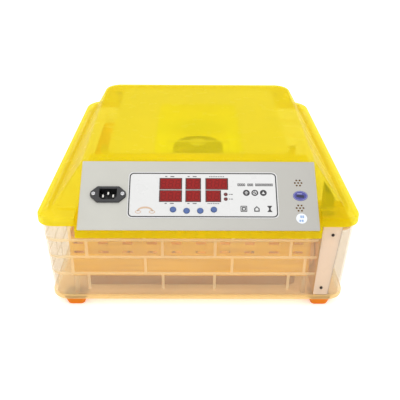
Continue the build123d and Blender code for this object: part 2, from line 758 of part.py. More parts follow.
POWER_BOARD = (-150.0, -62.0, -145.0, -102.0)


def power_posts():
    """Places of the power board's spacers."""
    x0, x1, y0, y1 = POWER_BOARD
    return [(x, y) for x in (x0 + 5, x1 - 5) for y in (y0 + 5, y1 - 5)]


def make_power_board():
    """The mains board with its small parts."""
    x0, x1, y0, y1 = POWER_BOARD
    board = box(x0, x1, y0, y1, 143, 144.6)
    for x, y in power_posts():
        board -= rod(x, y, 142, 146, 1.6)
    board += rod(-77, -112, 144.6, 158, 5)
    board += box(-88, -70, -140, -131, 144.6, 153)
    return board


def make_power_posts():
    """Spacers under the power board."""
    return group([rod(x, y, COVER_FLOOR + 2, 143, 3) - rod(x, y, 140, 144, 1.2) for x, y in power_posts()])


def make_transformer():
    """The mains transformer on the power board."""
    core = box(-138, -102, -136, -108, 144.6, 166)
    coil = box(-131, -109, -140, -104, 148, 162.5)
    return core + fillet(coil.edges().filter_by(Axis.Z), 3)


def make_relay():
    """The heater relay, on the cover's floor."""
    return fillet(box(60, 79, -135, -120, COVER_FLOOR + 2, COVER_FLOOR + 17).edges().filter_by(Axis.Z), 1)


def make_buzzer():
    """The alarm buzzer behind the upper rosette."""
    u, v = PERFORATION_AT[0]
    return panel_rod(u, v, 6, -PANEL_THICK - WALL - 9, -PANEL_THICK - 1)


def make_air_duct():
    """The ivory duct under the lid: a ring-shaped hollow box round a well."""
    length = DUCT_BACK - DUCT_FRONT
    centre = Pos(0, (DUCT_BACK + DUCT_FRONT) / 2, DUCT_FLOOR + 2)
    height = CEILING - DUCT_FLOOR - 2
    duct = extrude(centre * RectangleRounded(2 * DUCT_HALF, length, 14), height)
    hollow = extrude(centre * RectangleRounded(2 * DUCT_HALF - 4, length - 4, 12), height - 2)
    well_place = Pos(0, (WELL_FRONT + WELL_BACK) / 2, DUCT_FLOOR)
    well_length = WELL_BACK - WELL_FRONT
    hollow -= extrude(well_place * RectangleRounded(2 * WELL_HALF + 4, well_length + 4, 10), 60)
    duct -= hollow
    return duct - extrude(well_place * RectangleRounded(2 * WELL_HALF, well_length, 8), 60)


DUCT_SCREWS = [(sx * 141.0, y) for sx in (-1, 1) for y in (-70.0, 165.0)]


def make_duct_floor():
    """The perforated plate under the duct, with the fan's round opening."""
    centre = Pos(0, (DUCT_BACK + DUCT_FRONT) / 2 + 1, DUCT_FLOOR)
    plate = extrude(centre * RectangleRounded(2 * DUCT_HALF + 26, DUCT_BACK - DUCT_FRONT - 2, 14), 2)
    cuts = [rod(0, FAN_Y, 140, 160, FAN_RADIUS)]
    for index in range(5):
        y = 62 + index * 9
        cuts.append(box(-50, 50, y - 2, y + 2, 140, 160))
    for side in (-1, 1):
        for index in range(8):
            y = -66 + index * 30
            cuts.append(box(side * 100 - 22, side * 100 + 22, y - 2, y + 2, 140, 160))
    cuts += [rod(x, y, 140, 160, 1.4) for x, y in DUCT_SCREWS]
    plate -= Part() + cuts
    spokes = [box(-FAN_RADIUS - 1, FAN_RADIUS + 1, FAN_Y - 1, FAN_Y + 1, DUCT_FLOOR, DUCT_FLOOR + 1)]
    spokes.append(box(-1, 1, FAN_Y - FAN_RADIUS - 1, FAN_Y + FAN_RADIUS + 1, DUCT_FLOOR, DUCT_FLOOR + 1))
    for radius in (12, 24):
        ring = rod(0, FAN_Y, DUCT_FLOOR, DUCT_FLOOR + 1, radius) - rod(0, FAN_Y, 140, 160, radius - 1.5)
        spokes.append(ring)
    return plate + spokes


def make_duct_brackets():
    """Four legs that hang the duct floor from the lid."""
    legs = []
    for x, y in DUCT_SCREWS:
        leg = box(x - 4, x + 4, y - 6, y + 6, DUCT_FLOOR + 2, LID_TOP - WALL)
        legs.append(leg - rod(x, y, DUCT_FLOOR, DUCT_FLOOR + 14, 1.3))
    return group(legs)


def make_fan_shroud():
    """The round shroud that the fan turns in."""
    ring = rod(0, FAN_Y, DUCT_FLOOR + 2, FAN_TOP + 1, SHROUD_RADIUS + 2)
    ring -= rod(0, FAN_Y, 140, 180, SHROUD_RADIUS)
    return fillet(ring.edges().sort_by(Axis.Z)[-2:], 0.8)


FAN_BAR_HALF = 50.0
FAN_BAR_Z = 173.0
FAN_BAR_WIDE = 5.0


def make_fan_bar():
    """The bridge that carries the fan motor, on two legs."""
    front, back = FAN_Y - FAN_BAR_WIDE / 2, FAN_Y + FAN_BAR_WIDE / 2
    bar = box(-FAN_BAR_HALF, FAN_BAR_HALF, front, back, FAN_BAR_Z, FAN_BAR_Z + 1.5)
    for side in (-1, 1):
        leg = side * (FAN_BAR_HALF - 0.75)
        foot = side * (FAN_BAR_HALF + 3)
        bar += box(leg - 0.75, leg + 0.75, front, back, DUCT_FLOOR + 2, FAN_BAR_Z)
        bar += box(foot - 4, foot + 4, front, back, DUCT_FLOOR + 2, DUCT_FLOOR + 3.5)
    return bar


def make_fan_motor():
    """The fan's motor can, hung under the bridge."""
    can = rod(0, FAN_Y, FAN_TOP + 1.5, FAN_BAR_Z, 14)
    can = fillet(can.edges().sort_by(Axis.Z)[0], 1.5)
    return can - rod(0, FAN_Y, FAN_TOP, FAN_BAR_Z - 3, 1.54)


def make_fan_shaft():
    """The fan motor's shaft."""
    return rod(0, FAN_Y, FAN_BOTTOM + 2, FAN_BAR_Z - 4, 1.5)


def make_fan_rotor():
    """Hub and seven pitched blades."""
    hub = rod(0, FAN_Y, FAN_BOTTOM, FAN_TOP, 13)
    hub = fillet(hub.edges().sort_by(Axis.Z)[0], 2)
    rotor = hub
    reach = FAN_RADIUS - 12
    keep = rod(0, FAN_Y, FAN_BOTTOM + 0.5, FAN_TOP - 0.5, FAN_RADIUS)
    for index in range(7):
        blade = Pos(12 + reach / 2, 0, (FAN_BOTTOM + FAN_TOP) / 2) * Rot(38, 0, 0) * Box(reach, 17, 1.4)
        rotor += keep & (Pos(0, FAN_Y, 0) * Rot(0, 0, index * 360 / 7) * blade)
    return rotor - rod(0, FAN_Y, FAN_BOTTOM + 2, FAN_TOP + 1, 1.5)


def make_heater():
    """The ring heater under the duct floor."""
    ring = Torus(HEATER_RADIUS, 3.2)
    ring -= Pos(HEATER_RADIUS, 0, 0) * Box(20, 12, 10)
    ends = []
    for side in (-1, 1):
        x = math.sqrt(HEATER_RADIUS ** 2 - 36)
        ends.append(Pos(x + 5, side * 6, 0) * Rot(0, 90, 0) * Cylinder(3.2, 14))
    return Pos(0, FAN_Y, 140) * (ring + ends)


def make_heater_clips():
    """Three clips that hold the ring heater."""
    clips = []
    for turn in (60, 180, 300):
        leg = Pos(HEATER_RADIUS, 0, 141.5) * Box(10, 6, 17)
        leg -= Pos(0, 0, 140) * Torus(HEATER_RADIUS, 3.3)
        clips.append(Pos(0, FAN_Y, 0) * Rot(0, 0, turn) * leg)
    return group(clips)


PROBE_AT = (84.0, -60.0)


def make_sensor_probe():
    """The temperature and humidity probe in its slotted tube."""
    x, y = PROBE_AT
    tube = rod(x, y, 118, DUCT_FLOOR, 5)
    tube = fillet(tube.edges().sort_by(Axis.Z)[0], 1.5)
    collar = rod(x, y, DUCT_FLOOR - 3, DUCT_FLOOR, 8)
    probe = tube + collar
    for z in (122, 127, 132):
        probe -= box(x - 6, x + 6, y - 1.5, y + 1.5, z, z + 2.2)
    return probe


def make_lid_connector(inside):
    """The two-pin plug that feeds the motor in the base."""
    x, y = SOCKET_AT
    foot = SOCKET_TOP + 2
    block = box(x - 7, x + 7, y - 9, y + 9, foot, LID_TOP) & inside
    pins = [rod(x, y + dy, BAY_CAP + 1, foot, 1.4) for dy in (-SOCKET_PIN_Y, SOCKET_PIN_Y)]
    return block + pins


def main():
    """Build and save every node."""
    inside = lid_inside()
    save("base_shell", make_base_shell())
    save("feet", group([Pos(x, y, 0) * make_foot() for x, y in FOOT_PLACES]))
    foot_screws = [Pos(x, y, 6) * Rot(180, 0, 0) * make_screw(8.5, 3.6, 2.2) for x, y in FOOT_PLACES]
    save("foot_screws", group(foot_screws))
    save("motor_cover", make_motor_cover())
    cover_screws = []
    for x, z in STRIP_SCREWS:
        rise = (z - FOOT_HEIGHT) / (BASE_TOP - FOOT_HEIGHT)
        wall_y = BASE_BOTTOM_PLAN[2] + (BASE_TOP_PLAN[2] - BASE_BOTTOM_PLAN[2]) * rise
        place = Pos(x, wall_y - STRIP_THICK - 0.1, z) * Rot(90, 0, 0)
        cover_screws.append(place * make_screw(6, 2.2, 1.4, 1.25))
    save("motor_cover_screws", group(cover_screws))
    save("motor_bay", make_motor_bay())
    save("base_socket", make_base_socket())
    save("turner_motor", make_turner_motor())
    motor_screws = []
    for z in (CRANK_Z - MOTOR_SCREW_RISE, CRANK_Z + MOTOR_SCREW_RISE):
        motor_screws.append(Pos(BAY_WALL + 3.5, CRANK_Y, z) * Rot(0, 90, 0) * make_screw(4.5))
    save("turner_motor_screws", group(motor_screws))
    save("drive_crank", make_crank())
    save("drive_shaft", make_crank_shaft())
    save("water_tray", make_water_tray())
    save("egg_tray", make_egg_tray())
    save("turner_frame", make_turner_frame())
    save("lane_dividers", make_lane_dividers())
    save("turner_yoke", make_turner_yoke())

    save("lid_shell", make_lid_shell(inside))
    save("control_panel", make_control_panel())
    save("panel_label", make_panel_label())
    for name, (u, v, width) in display_places().items():
        save(name, make_display(u, v, width))
    save("indicator_lamps", make_leds())
    for index, (u, v) in enumerate(button_places()):
        save("button_" + str(index + 1), make_button(u, v))
    save("button_switches", make_button_switches())
    save("control_board", make_control_board())
    save("board_spacers", make_board_posts())
    save("board_screws", make_board_screws())
    save("power_inlet", make_power_inlet())
    save("inlet_pins", make_inlet_pins())
    save("inlet_screws", make_inlet_screws())
    oval = Pos(140.5, -0.8, 0) * extrude(Ellipse(10.1, 7.6), 0.3)
    save("oval_sticker", on_panel(oval))
    save("round_sticker", panel_rod(140.0, -35.2, 7.5, 0, 0.3))
    save("electronics_cover", make_electronics_cover())
    save("power_board", make_power_board())
    save("power_board_spacers", make_power_posts())
    save("transformer", make_transformer())
    save("heater_relay", make_relay())
    save("buzzer", make_buzzer())
    save("air_duct", make_air_duct())
    save("duct_floor", make_duct_floor())
    save("duct_brackets", make_duct_brackets())
    duct_screw = Rot(180, 0, 0) * make_screw(10, 3, 1.8, 1.25)
    save("duct_screws", group([Pos(x, y, DUCT_FLOOR) * duct_screw for x, y in DUCT_SCREWS]))
    save("fan_shroud", make_fan_shroud())
    save("fan_bar", make_fan_bar())
    save("fan_motor", make_fan_motor())
    save("fan_shaft", make_fan_shaft())
    save("fan_rotor", make_fan_rotor())
    save("heater_ring", make_heater())
    save("heater_clips", make_heater_clips())
    save("sensor_probe", make_sensor_probe())
    save("lid_connector", make_lid_connector(inside))


main()
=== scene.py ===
import json
import math

import bmesh
import bpy
from mathutils import Matrix, Vector


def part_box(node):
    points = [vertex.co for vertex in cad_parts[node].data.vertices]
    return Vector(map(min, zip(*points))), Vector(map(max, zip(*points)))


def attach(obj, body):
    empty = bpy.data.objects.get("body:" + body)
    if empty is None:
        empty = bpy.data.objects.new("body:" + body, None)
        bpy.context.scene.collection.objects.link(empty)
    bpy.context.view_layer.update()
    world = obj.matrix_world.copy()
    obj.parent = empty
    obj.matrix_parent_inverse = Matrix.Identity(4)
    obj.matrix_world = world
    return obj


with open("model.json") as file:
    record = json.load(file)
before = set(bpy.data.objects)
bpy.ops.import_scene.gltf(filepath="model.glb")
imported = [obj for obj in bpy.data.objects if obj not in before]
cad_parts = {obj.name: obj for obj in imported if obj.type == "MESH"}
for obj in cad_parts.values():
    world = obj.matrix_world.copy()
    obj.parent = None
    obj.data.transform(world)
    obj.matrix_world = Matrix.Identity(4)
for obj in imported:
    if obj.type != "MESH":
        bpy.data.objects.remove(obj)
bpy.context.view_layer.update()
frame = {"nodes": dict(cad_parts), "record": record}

MM = 0.001


# ---- colours -----------------------------------------------------------------
def srgb(red, green, blue):
    """A screen colour, 0 to 255, as the linear values that shaders take."""
    linear = []
    for value in (red, green, blue):
        share = value / 255
        linear.append(share / 12.92 if share <= 0.04045 else ((share + 0.055) / 1.055) ** 2.4)
    return (*linear, 1.0)


def shade(colour, factor):
    """A darker or lighter version of a linear colour."""
    return (*[min(value * factor, 1.0) for value in colour[:3]], 1.0)


# ---- material building blocks ------------------------------------------------
MATERIALS = {}
EVEN = (1, 1, 1)
WHITE = (1, 1, 1, 1)
NOISE_LOW = 0.3
NOISE_HIGH = 0.7


def new_material(name):
    """An empty node material, kept in MATERIALS, and its node tree."""
    material = bpy.data.materials.new(name)
    material.use_nodes = True
    material.node_tree.nodes.clear()
    MATERIALS[name] = material
    return material, material.node_tree


def noise(tree, scale, detail, stretch=EVEN):
    """Noise over the object's own metres, with scale in waves per metre."""
    place = tree.nodes.new("ShaderNodeTexCoord")
    mapping = tree.nodes.new("ShaderNodeMapping")
    mapping.inputs["Scale"].default_value = stretch
    texture = tree.nodes.new("ShaderNodeTexNoise")
    texture.inputs["Scale"].default_value = scale
    texture.inputs["Detail"].default_value = detail
    tree.links.new(place.outputs["Object"], mapping.inputs["Vector"])
    tree.links.new(mapping.outputs["Vector"], texture.inputs["Vector"])
    return texture.outputs["Fac"]


def spread(tree, fac, low, high):
    """Stretches a 0 to 1 factor, mostly near 0.5, over a wider range."""
    remap = tree.nodes.new("ShaderNodeMapRange")
    remap.inputs["From Min"].default_value = NOISE_LOW
    remap.inputs["From Max"].default_value = NOISE_HIGH
    remap.inputs["To Min"].default_value = low
    remap.inputs["To Max"].default_value = high
    tree.links.new(fac, remap.inputs["Value"])
    return remap.outputs["Result"]


def mottled(tree, colour, vary, scale, stretch):
    """A colour that wanders a little to both sides of itself."""
    mix = tree.nodes.new("ShaderNodeMix")
    mix.data_type = "RGBA"
    mix.inputs[6].default_value = shade(colour, 1 - vary)
    mix.inputs[7].default_value = shade(colour, 1 + vary)
    tree.links.new(spread(tree, noise(tree, scale, 3, stretch), 0.0, 1.0), mix.inputs["Factor"])
    return mix.outputs[2]


def bump(tree, height, strength, distance):
    """A bump from a height."""
    node = tree.nodes.new("ShaderNodeBump")
    node.inputs["Strength"].default_value = strength
    node.inputs["Distance"].default_value = distance
    tree.links.new(height, node.inputs["Height"])
    return node.outputs["Normal"]


# ---- kinds of material -------------------------------------------------------
SOLID_MOTTLE = 28
SOLID_GLOSS = 60
GLOSS_SPREAD = 0.06
GLOSS_LEAST = 0.03
GRAIN_DEPTH = 0.4 * MM


def solid_material(
    name, screen, rough, vary=0.08, grain=900, strength=0.12, mottle=EVEN, stretch=EVEN, **sockets
):
    """An opaque surface: mottled screen colour, uneven gloss and a fine grain."""
    material, tree = new_material(name)
    shader = tree.nodes.new("ShaderNodeBsdfPrincipled")
    output = tree.nodes.new("ShaderNodeOutputMaterial")
    colours = mottled(tree, srgb(*screen), vary, SOLID_MOTTLE, mottle)
    tree.links.new(colours, shader.inputs["Base Color"])
    smoothest = max(rough - GLOSS_SPREAD, GLOSS_LEAST)
    gloss = spread(tree, noise(tree, SOLID_GLOSS, 4), smoothest, rough + GLOSS_SPREAD)
    tree.links.new(gloss, shader.inputs["Roughness"])
    normal = bump(tree, noise(tree, grain, 2, stretch), strength, GRAIN_DEPTH)
    tree.links.new(normal, shader.inputs["Normal"])
    for socket, value in sockets.items():
        shader.inputs[socket.replace("_", " ")].default_value = value
    tree.links.new(shader.outputs["BSDF"], output.inputs["Surface"])
    return material


def metal_material(name, screen, rough, stretch=EVEN, grain=1200, strength=0.1):
    """Bare or plated metal with a drawn grain."""
    solid_material(name, screen, rough, 0.06, grain, strength, Metallic=1.0, stretch=stretch)


CLEAR_MOTTLE = 9
CLEAR_GLOSS = 40
CLEAR_HAZE = 16
HAZE_SPREAD = 0.02
CLEAR_WAVES = 14
WAVE_STRENGTH = 0.08
WAVE_DEPTH = 4 * MM


def clear_material(name, screen, tint, see_through, rough, glow, stretch=EVEN, vary=0.02, shine=0.3):
    """Translucent moulded plastic: part see-through, part glowing body, with a gloss."""
    _, tree = new_material(name)
    output = tree.nodes.new("ShaderNodeOutputMaterial")
    shader = tree.nodes.new("ShaderNodeBsdfPrincipled")
    colours = mottled(tree, srgb(*screen), vary, CLEAR_MOTTLE, stretch)
    tree.links.new(colours, shader.inputs["Base Color"])
    gloss = spread(tree, noise(tree, CLEAR_GLOSS, 4), rough * 0.8, rough * 1.25)
    tree.links.new(gloss, shader.inputs["Roughness"])
    shader.inputs["Specular IOR Level"].default_value = shine
    normal = bump(tree, noise(tree, CLEAR_WAVES, 2), WAVE_STRENGTH, WAVE_DEPTH)
    tree.links.new(normal, shader.inputs["Normal"])
    lit = tree.nodes.new("ShaderNodeBsdfTranslucent")
    tree.links.new(colours, lit.inputs["Color"])
    body = tree.nodes.new("ShaderNodeMixShader")
    body.inputs["Fac"].default_value = glow
    tree.links.new(shader.outputs["BSDF"], body.inputs[1])
    tree.links.new(lit.outputs["BSDF"], body.inputs[2])
    clear = tree.nodes.new("ShaderNodeBsdfTransparent")
    clear.inputs["Color"].default_value = (*tint, 1)
    mix = tree.nodes.new("ShaderNodeMixShader")
    haze = spread(tree, noise(tree, CLEAR_HAZE, 3), see_through - HAZE_SPREAD, see_through + HAZE_SPREAD)
    tree.links.new(haze, mix.inputs["Fac"])
    tree.links.new(body.outputs["Shader"], mix.inputs[1])
    tree.links.new(clear.outputs["BSDF"], mix.inputs[2])
    tree.links.new(mix.outputs["Shader"], output.inputs["Surface"])


# Where the panel's painted reflection fades from its lighter left tone to its darker right tone.
REFLECTION_FADE_START = -120 * MM
REFLECTION_FADE_END = 160 * MM


def panel_material(name, left, right):
    """Brushed plate under a thin film, its gloss uneven; its colour fades from the left tone to the right
    one, a painted reflection that is lighter on the left.
    """
    material = solid_material(name, left, 0.36, 0.02, 22, 0.25, Metallic=0.15, Coat_Weight=0.1)
    tree = material.node_tree
    shader = next(node for node in tree.nodes if node.type == "BSDF_PRINCIPLED")
    left_tone = shader.inputs["Base Color"].links[0].from_socket
    place = tree.nodes.new("ShaderNodeTexCoord")
    axes = tree.nodes.new("ShaderNodeSeparateXYZ")
    tree.links.new(place.outputs["Object"], axes.inputs["Vector"])
    across = tree.nodes.new("ShaderNodeMapRange")
    across.inputs["From Min"].default_value = REFLECTION_FADE_START
    across.inputs["From Max"].default_value = REFLECTION_FADE_END
    tree.links.new(axes.outputs["X"], across.inputs["Value"])
    mix = tree.nodes.new("ShaderNodeMix")
    mix.data_type = "RGBA"
    tree.links.new(across.outputs["Result"], mix.inputs["Factor"])
    tree.links.new(left_tone, mix.inputs[6])
    mix.inputs[7].default_value = srgb(*right)
    tree.links.new(mix.outputs[2], shader.inputs["Base Color"])


# ---- the lid's and the base's plastics ---------------------------------------
clear_material("lid_yellow", (241, 228, 16), (0.985, 0.945, 0.34), 0.54, 0.24, 0.5, shine=0.18)
clear_material(
    "base_clear", (228, 216, 186), (0.969, 0.959, 0.946), 0.80, 0.28, 0.3, stretch=(1, 1, 7), vary=0.06
)
clear_material("base_mortar", (248, 230, 190), (0.98, 0.96, 0.90), 0.34, 0.34, 0.4)
clear_material("side_mortar", (232, 218, 184), (0.97, 0.96, 0.94), 0.74, 0.34, 0.4)
clear_material("base_floor", (255, 234, 192), (1.0, 0.97, 0.88), 0.22, 0.34, 0.3, vary=0.03)
clear_material(
    "base_skirt", (252, 220, 150), (0.98, 0.94, 0.80), 0.50, 0.3, 0.3, stretch=(1, 1, 5), vary=0.04
)
clear_material("strip_plastic", (240, 222, 200), (1.0, 0.96, 0.90), 0.25, 0.3, 0.3)
solid_material("bay_amber", (236, 186, 112), 0.45, 0.04)
solid_material("foot_orange", (212, 116, 2), 0.5, Specular_IOR_Level=0.12)

# ---- the pieces inside -------------------------------------------------------
# The duct and the tray's back wall glow a little: painted light that stands in for the light thin plastic
# scatters inwards.
ROOF_GLOW = (0.3, 0.38, 1, 1)
WELL_GLOW = (0.8, 1, 0.05, 1)
TRAY_GLOW = (1, 0.8, 0.2, 1)
solid_material("duct_roof", (234, 228, 246), 0.42, 0.02, Emission_Color=ROOF_GLOW, Emission_Strength=0.4)
solid_material("duct_well", (242, 242, 100), 0.42, 0.02, Emission_Color=WELL_GLOW, Emission_Strength=0.07)
# The tray's inside material is painted light: lighter than the tray and glowing.
solid_material("tray_inside", (252, 212, 90), 0.4, 0.1, Emission_Color=TRAY_GLOW, Emission_Strength=0.2)
solid_material("tray_orange", (248, 180, 6), 0.4, 0.2, mottle=(0.35, 0.35, 9), Specular_IOR_Level=0.2)
solid_material("ivory_plastic", (248, 240, 222), 0.42, 0.02)
solid_material("turner_white", (240, 206, 150), 0.4, 0.04)
solid_material("water_tray_plastic", (172, 122, 84), 0.35, 0.05)
solid_material("board_green", (30, 92, 52), 0.35, 0.2)
solid_material("relay_blue", (36, 84, 150), 0.3)
solid_material("ceramic_white", (232, 228, 220), 0.5)
metal_material("steel", (190, 190, 192), 0.28)
metal_material("motor_metal", (176, 178, 180), 0.32, (1, 1, 6))
metal_material("core_metal", (120, 118, 116), 0.4, (1, 1, 30), 300, 0.4)
metal_material("heater_metal", (150, 138, 120), 0.35)

# ---- the panel and what is on it ---------------------------------------------
# The panel's second colour is the darker end of a painted reflection, towards the right.
panel_material("panel_silver", (184, 183, 175), (169, 167, 161))
solid_material("label_white", (210, 210, 209), 0.3, 0.004, 60, 0.03, Coat_Weight=0.2)
solid_material("display_red", (142, 16, 14), 0.35, 0.06, 500, 0.04, Specular_IOR_Level=0.2)
solid_material("segment_red", (112, 8, 8), 0.35, 0.05, Specular_IOR_Level=0.2)
solid_material("display_frame", (66, 12, 12), 0.4, 0.05)
solid_material("lamp_red", (98, 10, 14), 0.2, 0.1, 500, 0.04, Coat_Weight=0.3)
solid_material("button_blue", (66, 92, 148), 0.4, 0.16, 300)
solid_material("black_plastic", (35, 35, 37), 0.38, 0.15)
metal_material("pin_metal", (232, 230, 224), 0.18)
solid_material("sticker_blue", (62, 62, 140), 0.3, 0.06)
solid_material("sticker_white", (224, 228, 234), 0.35, 0.02)
# Painted shade: the brown discs behind the sound holes stand for the dim inside seen through them.
solid_material("hole_shade", (120, 84, 30), 0.7, 0.15, 1500, 0.4)
solid_material("screw_dark", (52, 44, 38), 0.4, 0.1, Metallic=0.6)
solid_material("seam_grey", (176, 156, 140), 0.5, 0.05)
solid_material("print_dark", (44, 42, 44), 0.5)
solid_material("print_grey", (84, 82, 84), 0.5)
solid_material("print_white", (210, 210, 209), 0.4, 0.02)
solid_material("print_peach", (196, 166, 140), 0.5, 0.1)
solid_material("print_indigo", (16, 16, 58), 0.4)
solid_material("print_lilac", (134, 134, 190), 0.4, 0.05)
solid_material("print_sky", (134, 164, 206), 0.45, 0.05)


# ---- finishes of the CAD nodes -----------------------------------------------
OWN_FINISH = {
    "motor_cover": "strip_plastic",
    "motor_cover_screws": "screw_dark",
    "motor_bay": "bay_amber",
    # The duct floor takes the well's faintly glowing material: painted light.
    "duct_floor": "duct_well",
}


def paint_frame():
    """Gives each CAD node the finish of its slot in the record, or its own."""
    slots = {part["node"]: part["material_slot"] for part in frame["record"]["subparts"]}
    for node, piece in frame["nodes"].items():
        piece.data.materials.clear()
        piece.data.materials.append(MATERIALS[OWN_FINISH.get(node, slots[node])])


def add_finish(piece, finish):
    """Adds a material to a node and returns its place in the node's list."""
    piece.data.materials.append(MATERIALS[finish])
    return len(piece.data.materials) - 1


def corners_of(piece, face):
    """The corners of a face."""
    return [piece.data.vertices[index].co for index in face.vertices]


def in_band(corners, axis, lines, half):
    """Whether all corners of a face lie in one narrow band about a line."""
    return any(all(abs(corner[axis] - line) <= half for corner in corners) for line in lines)


COURSE = 28 * MM
BRICKS_FROM = 29 * MM
MORTAR_ROWS = [BRICKS_FROM + COURSE * row for row in range(1, 4)]
MORTAR_HALF = 2.05 * MM
BRICK_JOINTS = ((36.7 * MM, 142 * MM), (61 * MM, 163.5 * MM))
FRONT_CENTRE = -13.4 * MM
SIDE_CENTRE = 1 * MM
FRONT_DEPTH = 12 * MM
SIDE_DEPTH = 24 * MM
SKIRT_TOP = 22 * MM
FLOOR_TOP = 15.5 * MM
LEG_TOP = 50 * MM
TRAY_BACK = 30 * MM
LEVEL = 0.9
FACING = 0.3


def paint_mortar():
    """Gives the sunk mortar lines of the base their own paler finish."""
    shell = frame["nodes"]["base_shell"]
    bright = add_finish(shell, "base_mortar")
    faint = add_finish(shell, "side_mortar")
    low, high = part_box("base_shell")
    front = low[1] + FRONT_DEPTH
    rear = high[1] - FRONT_DEPTH
    wall = high[0] - SIDE_DEPTH
    steps = [side * joint for pair in BRICK_JOINTS for joint in pair for side in (-1, 1)]
    joints = [FRONT_CENTRE + step for step in steps]
    side_joints = [SIDE_CENTRE + step for step in steps]
    for face in shell.data.polygons:
        corners = corners_of(shell, face)
        ahead = all(corner.y < front for corner in corners)
        behind = all(corner.y > rear for corner in corners)
        beside = all(abs(corner.x) > wall for corner in corners)
        mortar = in_band(corners, 2, MORTAR_ROWS, MORTAR_HALF)
        mortar = mortar or (ahead or behind) and in_band(corners, 0, joints, MORTAR_HALF)
        mortar = mortar or beside and in_band(corners, 1, side_joints, MORTAR_HALF)
        if mortar and all(corner.z > SKIRT_TOP for corner in corners):
            face.material_index = bright if ahead or behind else faint


def paint_duct():
    """Paints light onto the duct: its upward faces get a paler material that glows more strongly than the
    rest, its well.
    """
    duct = frame["nodes"]["air_duct"]
    roof = add_finish(duct, "duct_roof")
    well = add_finish(duct, "duct_well")
    for face in duct.data.polygons:
        face.material_index = roof if face.normal.z > LEVEL else well


def paint_tray_back():
    """Paints light onto the inside of the egg tray's back wall: a lighter material that glows."""
    tray = frame["nodes"]["egg_tray"]
    light = add_finish(tray, "tray_inside")
    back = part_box("egg_tray")[1][1] - TRAY_BACK
    for face in tray.data.polygons:
        if face.normal.y < -FACING and face.center.y > back:
            face.material_index = light


def paint_low_faces(node, top, finish, level):
    """Gives a node's faces below a height their own finish: its level ones, or its steep ones."""
    piece = frame["nodes"][node]
    place = add_finish(piece, finish)
    for face in piece.data.polygons:
        low = all(corner.z <= top for corner in corners_of(piece, face))
        if low and (abs(face.normal.z) > LEVEL) == level:
            face.material_index = place


paint_frame()
paint_mortar()
paint_duct()
paint_tray_back()
paint_low_faces("base_shell", SKIRT_TOP, "base_skirt", False)
paint_low_faces("base_shell", FLOOR_TOP, "base_floor", True)
paint_low_faces("egg_tray", LEG_TOP, "base_mortar", False)


# ---- the sloped panel's own frame, in millimetres ----------------------------
TILT = math.radians(35)
PLATE_THICK = 1 * MM
PLATE_LOW, PLATE_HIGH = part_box("control_panel")
PLATE_RISE = PLATE_HIGH[2] - PLATE_LOW[2] - PLATE_THICK * math.cos(TILT)
PANEL_HALF_LENGTH = PLATE_RISE / math.sin(TILT) / 2
PANEL_X = Vector((1, 0, 0))
PANEL_UP = Vector((0, math.cos(TILT), math.sin(TILT)))
PANEL_OUT = Vector((0, -math.sin(TILT), math.cos(TILT)))
PANEL_CENTRE = Vector((
    (PLATE_LOW[0] + PLATE_HIGH[0]) / 2,
    PLATE_LOW[1] + PANEL_HALF_LENGTH * math.cos(TILT),
    PLATE_HIGH[2] - PANEL_HALF_LENGTH * math.sin(TILT),
))
STICKER_TOP = 0.3
LABEL_TOP = 0.4
DISPLAY_TOP = 0.6
PRINT_THICK = 0.12
RIM_THICK = 0.08
THIN_PRINT = 0.06
DIGIT_THICK = 0.05


def panel_point(u, v, w):
    """A point on the panel: across, up the slope and outwards."""
    return PANEL_CENTRE + (PANEL_X * u + PANEL_UP * v + PANEL_OUT * w) * MM


def panel_place(node):
    """Where a node's middle lies on the panel, across and up."""
    low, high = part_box(node)
    middle = (Vector(low) + Vector(high)) / 2 - PANEL_CENTRE
    return middle.dot(PANEL_X) / MM, middle.dot(PANEL_UP) / MM


def width_of(node):
    """A node's width."""
    low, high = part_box(node)
    return (high[0] - low[0]) / MM


# ---- outlines ----------------------------------------------------------------
def arc(u, v, radius, start, end, steps):
    """Points along a round stretch, in degrees."""
    points = []
    for step in range(steps + 1):
        turn = math.radians(start + (end - start) * step / steps)
        points.append((u + radius * math.cos(turn), v + radius * math.sin(turn)))
    return points


def circle(u, v, radius, steps=32):
    """A round outline."""
    return arc(u, v, radius, 0, 360 - 360 / steps, steps - 1)


def oval(u, v, width, height):
    """An oval outline."""
    return [(u + (a - u) * width / 2, v + (b - v) * height / 2) for a, b in circle(u, v, 1)]


def rounded(u, v, width, height, radius, steps=2):
    """A rounded rectangle's outline, anticlockwise from the right."""
    points = []
    for side_u, side_v, start in ((1, 1, 0), (-1, 1, 90), (-1, -1, 180), (1, -1, 270)):
        corner_u = u + side_u * (width / 2 - radius)
        corner_v = v + side_v * (height / 2 - radius)
        points += arc(corner_u, corner_v, radius, start, start + 90, steps)
    return points


def bar(u, v, width, height):
    """A small bar's outline."""
    return rounded(u, v, width, height, min(width, height) * 0.3)


def turned_outline(outline, u, v, degrees):
    """An outline turned about a point."""
    cos, sin = math.cos(math.radians(degrees)), math.sin(math.radians(degrees))
    return [(u + (a - u) * cos - (b - v) * sin, v + (a - u) * sin + (b - v) * cos) for a, b in outline]


# ---- thin pieces -------------------------------------------------------------
def finish_piece(name, mesh, material, body):
    """Adds a mesh as a piece that rides a body."""
    bmesh.ops.recalc_face_normals(mesh, faces=mesh.faces)
    built = bpy.data.meshes.new(name)
    mesh.to_mesh(built)
    mesh.free()
    built.materials.append(MATERIALS[material])
    piece = bpy.data.objects.new(name, built)
    bpy.context.collection.objects.link(piece)
    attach(piece, body)


def add_prism(mesh, low, high):
    """A closed prism between two outlines of equal length, given as points in space."""
    under = [mesh.verts.new(point) for point in low]
    over = [mesh.verts.new(point) for point in high]
    mesh.faces.new(over)
    mesh.faces.new(list(reversed(under)))
    for index in range(len(under)):
        after = (index + 1) % len(under)
        mesh.faces.new((under[index], under[after], over[after], over[index]))


